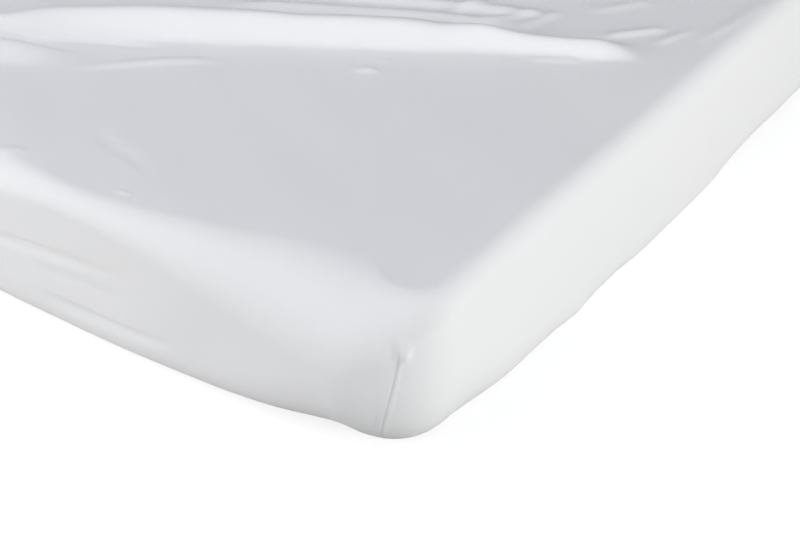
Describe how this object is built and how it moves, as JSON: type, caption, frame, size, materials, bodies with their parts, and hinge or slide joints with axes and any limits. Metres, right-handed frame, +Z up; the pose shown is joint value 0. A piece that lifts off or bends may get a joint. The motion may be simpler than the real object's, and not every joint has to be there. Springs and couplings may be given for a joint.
{
  "type": "fitted sheet on a mattress",
  "caption": "White jersey fitted sheet with sewn corners, stretched over a plain single mattress and tucked under it.",
  "frame": {"origin": "bottom centre of the whole object, on the surface that the tucked hem lies on", "axes": "+Z up, +X towards the right long side and -Y towards the foot, which carries the folds"},
  "size_m": [0.908, 2.0106, 0.2189],
  "materials": {
    "jersey": "matt fine-knit cotton jersey, white",
    "mattress_cover": "matt plain woven cotton cover, off-white"
  },
  "bodies": {
    "root": {"fitted_sheet": "jersey", "mattress": "mattress_cover"}
  },
  "joints": []
}
